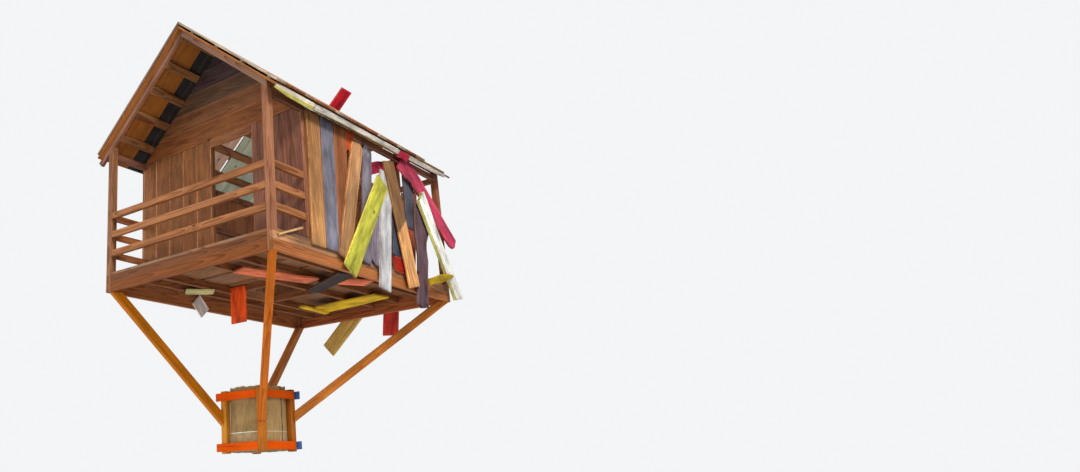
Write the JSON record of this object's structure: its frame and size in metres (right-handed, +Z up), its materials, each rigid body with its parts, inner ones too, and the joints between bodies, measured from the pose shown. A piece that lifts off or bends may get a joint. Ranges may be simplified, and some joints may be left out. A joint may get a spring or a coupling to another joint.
{
  "type": "tree house",
  "caption": "Gabled timber tree house with a railed porch, an open doorway and patchwork board walls, braced from a collar round the trunk.",
  "frame": {"origin": "on the inside of the collar's front, level with the middle of the lower bands, where the trunk bears on the wrap", "axes": "+X to the right seen from the front, +Y from the porch to the back and out of the bearing face into the trunk, +Z up"},
  "size_m": [2.79, 3.7403, 4.8924],
  "materials": {
    "honey_wood": "satin honey-coloured stain, worn",
    "red_stain": "satin orange-red stain",
    "canvas": "coarse khaki canvas",
    "brown_wood": "weathered brown stain",
    "orange_stain": "orange stain, scuffed",
    "weathered_wood": "weathered bare timber",
    "pale_wood": "pale sawn timber",
    "tan_stain": "light brown stain",
    "red_brown_stain": "dark red-brown stain",
    "fascia_wood": "pinkish brown stain",
    "dark_panel": "dark bitumen-faced panel",
    "grey_wood": "weathered grey boards",
    "slate_paint": "worn slate-blue paint",
    "grey_paint": "worn grey paint",
    "yellow_paint": "faded yellow paint",
    "white_paint": "faded white paint",
    "tan_paint": "pale tan wood",
    "plum_paint": "dark plum paint",
    "lime_paint": "white face, yellow-green edges",
    "crimson_paint": "crimson paint",
    "red_paint": "red paint",
    "salmon_paint": "faded salmon paint",
    "dark_paint": "dark green paint"
  },
  "bodies": {
    "root": {"collar_posts": "honey_wood", "collar_bands": "red_stain", "collar_side_bands": "red_stain", "trunk_wrap": "canvas", "brace_front_right": "honey_wood", "brace_front_left": "honey_wood", "brace_back_right": "honey_wood", "brace_back_left": "honey_wood", "corner_posts": "brown_wood", "lower_rims": "orange_stain", "upper_rims": "weathered_wood", "joists": "pale_wood", "trunk_headers": "pale_wood", "deck_boards": "pale_wood", "front_rails": "brown_wood", "side_rails": "brown_wood", "wall_studs": "brown_wood", "wall_plates": "brown_wood", "wall_ties": "brown_wood", "front_wall_left": "tan_stain", "front_wall_right": "red_brown_stain", "doorway_header": "tan_stain", "front_gable": "tan_stain", "left_wall": "brown_wood", "back_wall": "brown_wood", "back_gable": "tan_stain", "rake_rafters": "fascia_wood", "purlins": "brown_wood", "ridge_beam": "brown_wood", "roof_panels": "dark_panel", "roof_battens": "grey_wood", "roof_boards_left": "grey_wood", "roof_boards_right": "grey_wood", "brown_boards": "tan_stain", "slate_boards": "slate_paint", "grey_boards": "grey_paint", "yellow_boards": "yellow_paint", "white_boards": "white_paint", "tan_boards": "tan_paint", "plum_board": "plum_paint", "lime_board": "lime_paint", "crimson_boards": "crimson_paint", "red_boards": "red_paint", "salmon_boards": "salmon_paint", "dark_board": "dark_paint"}
  },
  "joints": []
}
